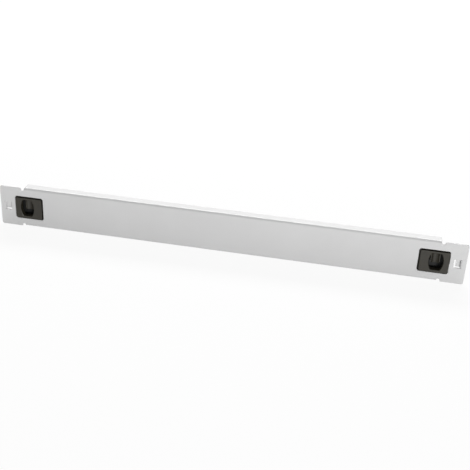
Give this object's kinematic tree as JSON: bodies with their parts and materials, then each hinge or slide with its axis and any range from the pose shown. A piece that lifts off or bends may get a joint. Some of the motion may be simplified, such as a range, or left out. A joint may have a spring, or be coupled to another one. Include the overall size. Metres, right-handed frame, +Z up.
{
  "type": "tool-less rack blanking panel",
  "caption": "Folded steel blanking panel for a 19-inch rack, light grey, with a recessed finger latch at each end that springs a bolt behind the rail.",
  "frame": {"origin": "centre of the plane where the backs of the two ears seat on the rack's rails", "axes": "+X across the rack to the right as seen from the front, +Y into the rack, +Z up"},
  "size_m": [0.4826, 0.0125, 0.0436],
  "materials": {
    "powder_coat": "satin light grey powder coat on folded steel",
    "black_plastic": "fine satin black moulding",
    "black_coated_steel": "black electrocoat on stamped steel",
    "spring_steel": "drawn spring wire",
    "coppered_steel": "copper-flashed weld stud",
    "zinc_steel": "bright zinc plate"
  },
  "bodies": {
    "panel": {"panel": "powder_coat", "weld_studs": "coppered_steel", "stud_nuts": "zinc_steel", "right_latch_housing": "black_plastic", "right_latch_cover": "black_coated_steel", "right_latch_spring": "spring_steel", "left_latch_housing": "black_plastic", "left_latch_cover": "black_coated_steel", "left_latch_spring": "spring_steel"},
    "right_latch": {"right_latch_slider": "black_plastic"},
    "left_latch": {"left_latch_slider": "black_plastic"}
  },
  "joints": [
    {"name": "right_latch_slide", "type": "slide", "parent": "panel", "child": "right_latch", "axis": [-1, 0, 0], "range_m": [0, 0.0042], "stiffness_N_per_m": 400, "springref_m": -0.004, "deforming": ["right_latch_spring"]},
    {"name": "left_latch_slide", "type": "slide", "parent": "panel", "child": "left_latch", "axis": [1, 0, 0], "range_m": [0, 0.0042], "stiffness_N_per_m": 400, "springref_m": -0.004, "deforming": ["left_latch_spring"]}
  ]
}
